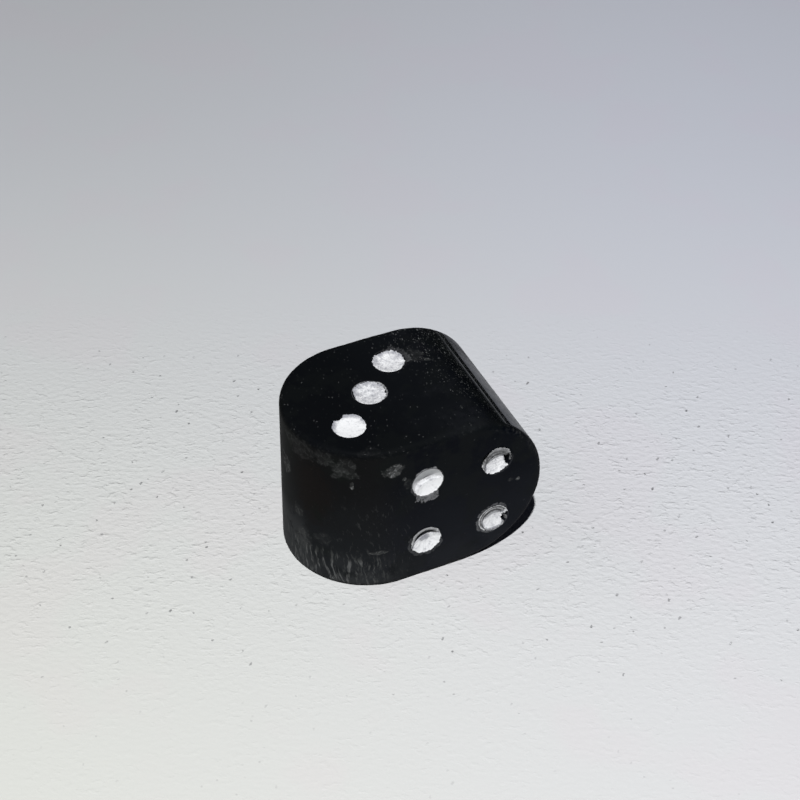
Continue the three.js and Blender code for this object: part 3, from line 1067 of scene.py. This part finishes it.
stageLook = {
    "floorHalf": 1.5,                           # metres from the die to the floor's edge
    "nearLeftColour": (0.622, 0.632, 0.596),    # the floor's colour, with the light's falloff towards the back painted in
    "nearRightColour": (0.634, 0.640, 0.652),
    "farLeftColour": (0.513, 0.528, 0.556),
    "farRightColour": (0.562, 0.584, 0.656),
    "pitColour": (0.16, 0.16, 0.17),
    "blotchTint": (1.02, 0.97, 0.99),
    "zenithColour": (0.013, 0.0145, 0.020),     # of the dark room
    "horizonColour": (0.002, 0.0024, 0.0032),
    "roomRise": (0.05, 0.75),                   # from the one to the other, as heights on a ball of radius 1
    "keyPower": 1.10,                           # watts
    "keyAzimuth": 25.0,                         # degrees to the left of straight in front
    "keyElevation": 62.0,
    "keyDistance": 0.30,                        # metres, as its width
    "keyWidth": 0.006,
    "fillPower": 0.16,
    "fillAzimuth": 120.0,
    "fillElevation": 45.0,
    "fillDistance": 0.45,
    "fillWidth": 0.30,
}

# The floor's relief, in mm. Across and deep are directions in the picture, and deep is 0 level with the die.
floorRelief = {
    "colourAcross": (-32.0, 32.0),      # where the left colours start to turn into the right ones
    # painted falloff of the light: darker towards the back
    "colourDeep": (-30.0, 55.0),
    "sharpFrom": (-20.0, 0.0),          # the relief is sharp in a band beside the die
    "sharpTo": (26.0, 6.0),
    "leastNear": 0.22,                  # and smooth in front of it and behind it
    "leastFar": 0.05,
    "rippleAcross": 0.52,
    "rippleDeep": 0.36,
    "ripples": (1.0, 2.0, 0.45),        # noise: cells, detail, roughness
    "rippleHeight": 0.34,               # heights in parts of the relief's height
    "dents": (0.85, 2.0, 0.5),
    "dentNoise": (0.50, 0.70),
    "dentPatches": (0.5, 2.0, 0.5),
    "dentPatchNoise": (0.35, 0.60),
    "dentHeight": 0.20,
    "wobble": (3.0, 2.0, 0.5),
    "wobbleBy": 0.5,
    "pitCells": 0.65,
    "pitSize": (0.070, 0.024),          # in cells
    "pitClumps": (0.16, 2.0, 0.5),
    "pitClumpNoise": (0.50, 0.66),
    "pitClumping": 0.50,
    "pitPick": (0.80, 0.90),
    "pitSharp": (0.05, 0.5),
    "palestPit": 0.25,
    "pitDepth": 0.3,
    "pitDark": 0.8,
    "blotches": (0.09, 3.0, 0.5),
    "blotchNoise": (0.50, 0.60),
    "blotch": 0.4,
    "roughness": 0.6,
    "gloss": 0.2,
    "strength": 0.9,
    "height": 0.00026,                  # metres
}


def floorMaterial():
    look, relief = stageLook, floorRelief
    material, start = newMaterial("paleFloor")
    place = objectPlace(start)
    x, y, _ = place.split()
    turn = math.radians(photoView["azimuth"])
    across = x * math.cos(turn) - y * math.sin(turn)
    deep = x * math.sin(turn) + y * math.cos(turn)
    toRight = across.ramp(*relief["colourAcross"])
    near = mixColour(toRight, look["nearLeftColour"], look["nearRightColour"])
    far = mixColour(toRight, look["farLeftColour"], look["farRightColour"])
    # painted falloff of the light: darker towards the back
    colour = mixColour(deep.ramp(*relief["colourDeep"]), near, far)

    sharp = deep.ramp(*relief["sharpFrom"]).above(relief["leastNear"])
    sharp = sharp * deep.ramp(*relief["sharpTo"]).above(relief["leastFar"])
    stretched = place.join(across / relief["rippleAcross"], deep / relief["rippleDeep"], 0.0)
    ripples = noise(stretched, *relief["ripples"])
    dents = noise(stretched, *relief["dents"]).ramp(*relief["dentNoise"])
    dents = dents * noise(place, *relief["dentPatches"]).ramp(*relief["dentPatchNoise"])
    wobble = noise(place, *relief["wobble"])
    cells = {"Vector": bend(place, wobble, relief["wobbleBy"]), "Scale": relief["pitCells"]}
    pick, dark, _ = place.node("ShaderNodeTexVoronoi", cells, "Color", voronoi_dimensions="2D").split()
    clump = noise(place, *relief["pitClumps"]).ramp(*relief["pitClumpNoise"])
    pit = place.node("ShaderNodeTexVoronoi", cells, "Distance", voronoi_dimensions="2D")
    pit = pit.ramp(*relief["pitSize"]) * (pick + clump * relief["pitClumping"]).ramp(*relief["pitPick"])
    pit = pit * sharp.ramp(*relief["pitSharp"]) * dark.above(relief["palestPit"])
    height = ripples * relief["rippleHeight"] + dents * relief["dentHeight"] - pit * relief["pitDepth"]
    height = height * sharp
    blotch = noise(place, *relief["blotches"]).ramp(*relief["blotchNoise"]) * relief["blotch"]
    colour = mixColour(blotch, colour, colour.vector("MULTIPLY", look["blotchTint"]))
    colour = mixColour(pit * relief["pitDark"], colour, look["pitColour"])
    bump = {"Height": height, "Strength": relief["strength"], "Distance": relief["height"]}
    shader = start.node("ShaderNodeBsdfPrincipled", {
        "Base Color": colour,
        "Roughness": relief["roughness"],
        "Normal": height.node("ShaderNodeBump", bump),
        "Specular IOR Level": relief["gloss"],
    })
    finish(start, shader)
    return material


def makeFloor():
    half = stageLook["floorHalf"]
    mesh = bpy.data.meshes.new("floor")
    corners = [(-half, -half, 0), (half, -half, 0), (half, half, 0), (-half, half, 0)]
    mesh.from_pydata(corners, [], [(0, 1, 2, 3)])
    mesh.materials.append(floorMaterial())
    floor = bpy.data.objects.new("floor", mesh)
    bpy.context.scene.collection.objects.link(floor)


# Dark card round the die with a glowing pale top, which only its shiny end shows, as a line of painted
# reflection
cardLook = {
    "radius": 56,       # mm
    "height": 6.2,
    "trim": 1.4,        # of its pale top
    "trimFade": 0.1,    # from dark to pale
    "colour": (0.004, 0.004, 0.005),
    "trimColour": (0.60, 0.62, 0.66),
    "sides": 96,
}


def makeCard():
    material, start = newMaterial("card")
    radius, height, sides = cardLook["radius"] * mm, cardLook["height"], cardLook["sides"]
    onTrim = objectPlace(start).split()[2].ramp(height, height + cardLook["trimFade"])
    colour = mixColour(onTrim, cardLook["colour"], cardLook["trimColour"])
    finish(start, start.node("ShaderNodeEmission", {"Color": colour}))
    levels = (0, height, height + cardLook["trim"])
    corners = []
    for level in levels:
        for side in range(sides):
            turn = math.tau * side / sides
            corners.append((radius * math.cos(turn), radius * math.sin(turn), level * mm))
    walls = []
    for row in range(len(levels) - 1):
        low, high = row * sides, (row + 1) * sides
        for side in range(sides):
            after = (side + 1) % sides
            walls.append((low + side, low + after, high + after, high + side))
    mesh = bpy.data.meshes.new("card")
    mesh.from_pydata(corners, [], walls)
    mesh.materials.append(material)
    card = bpy.data.objects.new("card", mesh)
    card.visible_camera = card.visible_diffuse = card.visible_shadow = False
    bpy.context.scene.collection.objects.link(card)


def towardsAzimuth(azimuth, elevation):
    # Azimuth in degrees to the left of straight in front of the die
    turn, rise = math.radians(azimuth), math.radians(elevation)
    return Vector((-math.sin(turn) * math.cos(rise), -math.cos(turn) * math.cos(rise), math.sin(rise)))


def makeLight():
    world = bpy.data.worlds.new("room")
    world.use_nodes = True
    start = Wire(world.node_tree)
    z = start.node("ShaderNodeTexCoord", {}, "Generated").split()[2]
    colour = mixColour(z.ramp(*stageLook["roomRise"]), stageLook["horizonColour"], stageLook["zenithColour"])
    world.node_tree.links.new(colour.socket, world.node_tree.nodes["Background"].inputs["Color"])
    bpy.context.scene.world = world
    for name in ("key", "fill"):
        light = bpy.data.lights.new(name, "AREA")
        light.size = stageLook[name + "Width"]
        light.energy = stageLook[name + "Power"]
        lamp = bpy.data.objects.new(name, light)
        back = towardsAzimuth(stageLook[name + "Azimuth"], stageLook[name + "Elevation"])
        lamp.location = dieMiddle + back * stageLook[name + "Distance"]
        lamp.rotation_euler = back.to_track_quat("Z", "Y").to_euler()
        bpy.context.scene.collection.objects.link(lamp)


def makeCamera():
    azimuth = math.radians(photoView["azimuth"])
    back = towardsAzimuth(photoView["azimuth"], photoView["elevation"])
    level = Vector((math.cos(azimuth), -math.sin(azimuth), 0))
    upright = back.cross(level)
    roll = math.radians(photoView["roll"])
    right = math.cos(roll) * level + math.sin(roll) * upright
    up = back.cross(right)
    shift = right * photoView["aimRight"] + up * photoView["aimUp"] + back * photoView["distance"]
    lens = bpy.data.cameras.new("photoCamera")
    lens.sensor_width = photoView["sensorWidth"]
    lens.lens = photoView["focalPixels"] / photoView["frameWidth"] * lens.sensor_width
    lens.clip_start = photoView["clipStart"] * mm
    camera = bpy.data.objects.new("photoCamera", lens)
    turned = Matrix((right, up, back)).transposed().to_4x4()
    camera.matrix_world = Matrix.Translation(dieMiddle + shift * mm) @ turned
    bpy.context.scene.collection.objects.link(camera)
    bpy.context.scene.camera = camera


makeCamera()
makeLight()
makeFloor()
makeCard()
print("camera, light and floor ready")

body = makeBody(blackPlastic())
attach(body, "root")
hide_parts("die_body")
print("body ready,", len(body.data.polygons), "faces")

for node, piece in makePaint(whitePaint()).items():
    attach(piece, "root")
    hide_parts(node)
print("paint ready")

bpy.context.scene.view_settings.view_transform = "Standard"
